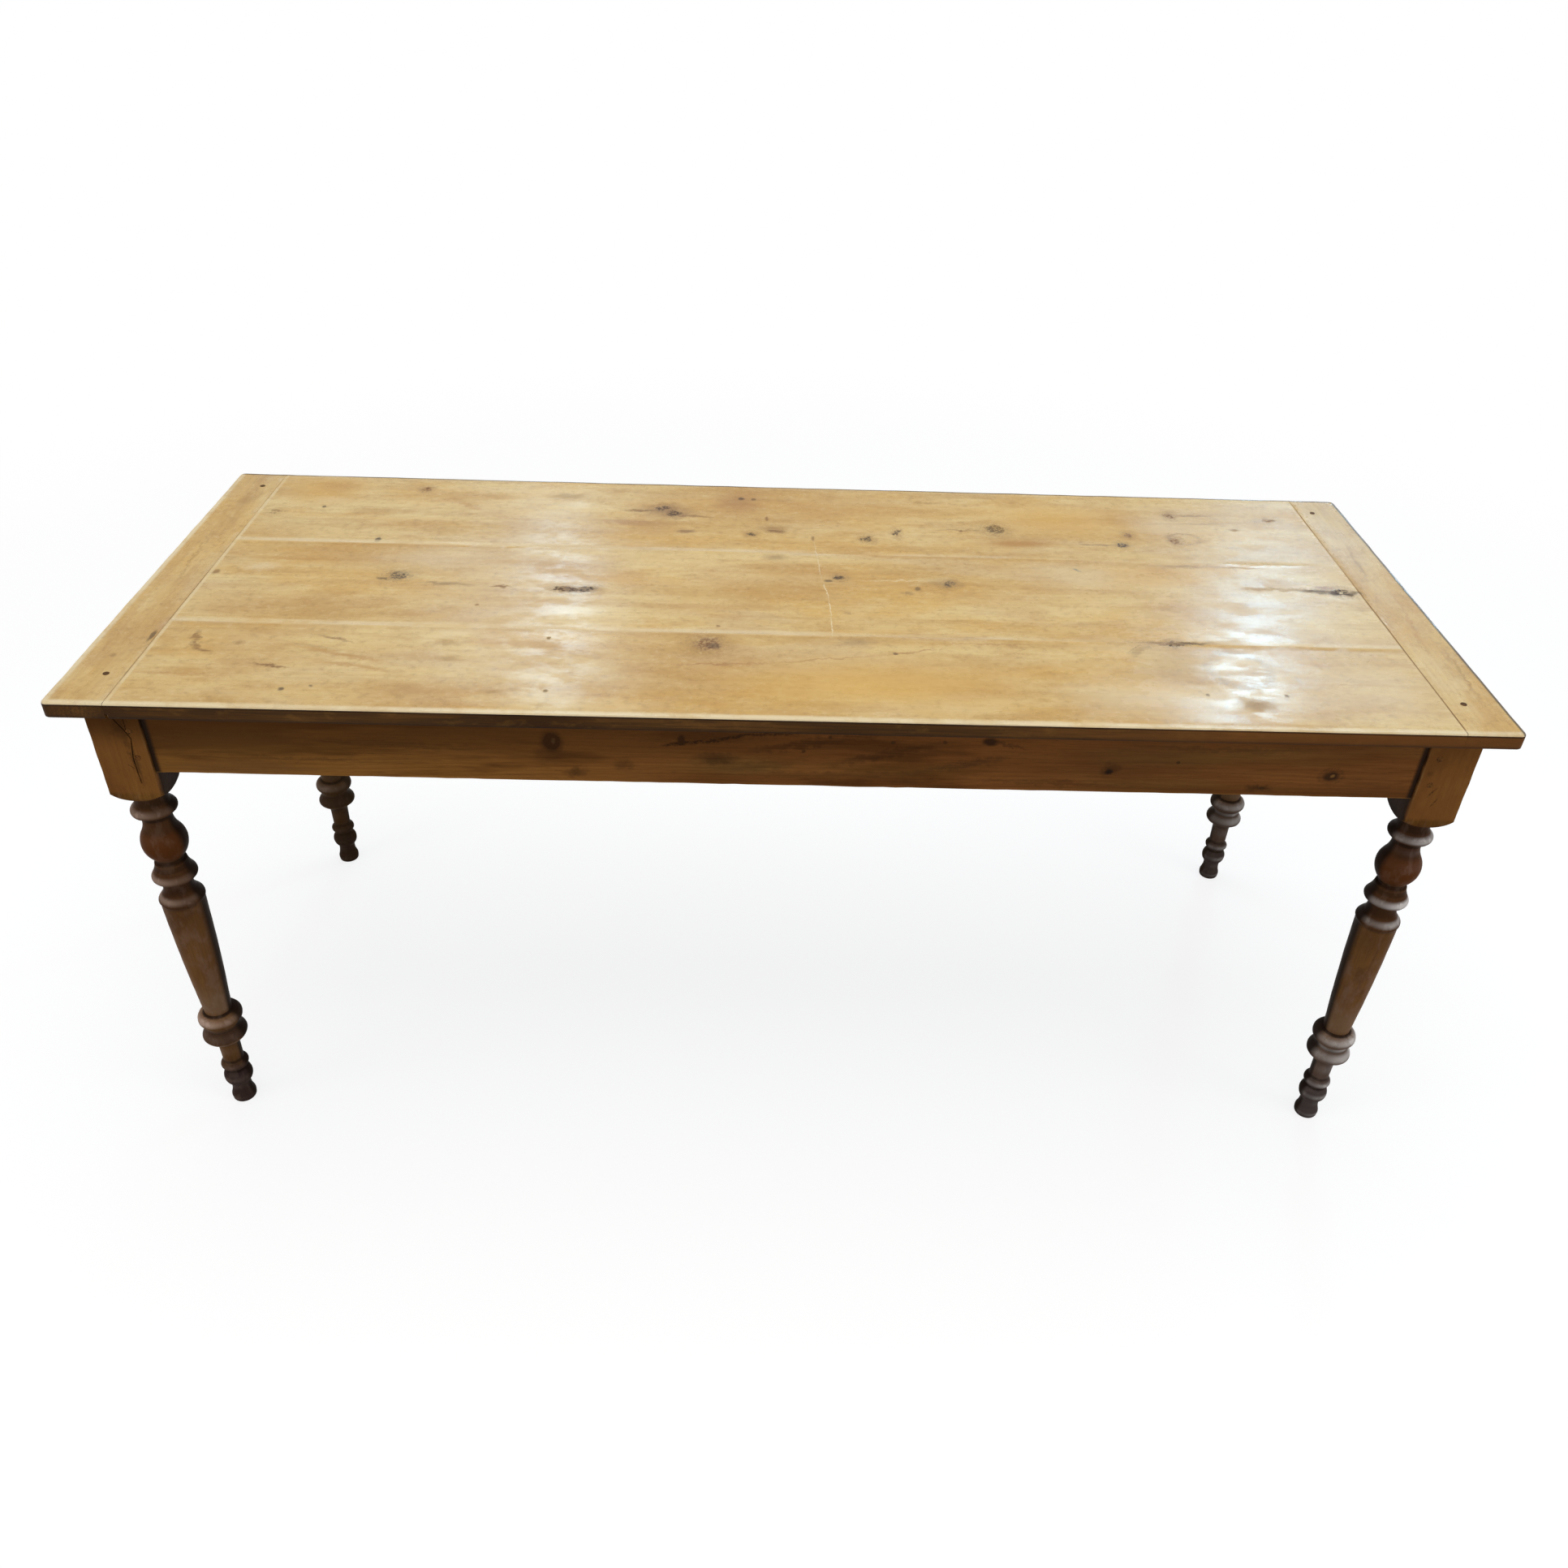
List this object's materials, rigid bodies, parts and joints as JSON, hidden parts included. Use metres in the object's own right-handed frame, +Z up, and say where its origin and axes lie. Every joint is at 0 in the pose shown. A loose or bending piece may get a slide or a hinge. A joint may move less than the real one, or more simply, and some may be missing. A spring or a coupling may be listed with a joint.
{
  "type": "farmhouse table",
  "caption": "Long plank-topped farmhouse table with breadboard ends, plain aprons and turned tapering legs.",
  "frame": {"origin": "on the floor under the middle of the top", "axes": "+X along the length to the right, +Y from the front edge to the back edge, +Z up"},
  "size_m": [1.82, 0.72, 0.76],
  "materials": {
    "top_wood": "waxed, satin",
    "leg_wood": "waxed, worn, satin",
    "apron_wood": "waxed, dull satin",
    "inner_wood": "bare, matt",
    "peg_wood": "end grain, dark",
    "screw_steel": "dull"
  },
  "bodies": {
    "root": {"plank_front": "top_wood", "plank_middle": "top_wood", "plank_back": "top_wood", "breadboard_left": "top_wood", "breadboard_right": "top_wood", "breadboard_pegs_left": "peg_wood", "breadboard_pegs_right": "peg_wood", "leg_front_left": "leg_wood", "leg_pegs_front_left": "peg_wood", "leg_front_right": "leg_wood", "leg_pegs_front_right": "peg_wood", "leg_back_left": "leg_wood", "leg_pegs_back_left": "peg_wood", "leg_back_right": "leg_wood", "leg_pegs_back_right": "peg_wood", "apron_front": "apron_wood", "buttons_front": "inner_wood", "screws_front": "screw_steel", "apron_back": "apron_wood", "buttons_back": "inner_wood", "screws_back": "screw_steel", "apron_left": "apron_wood", "buttons_left": "inner_wood", "screws_left": "screw_steel", "apron_right": "apron_wood", "buttons_right": "inner_wood", "screws_right": "screw_steel", "cross_rail": "inner_wood"}
  },
  "joints": []
}
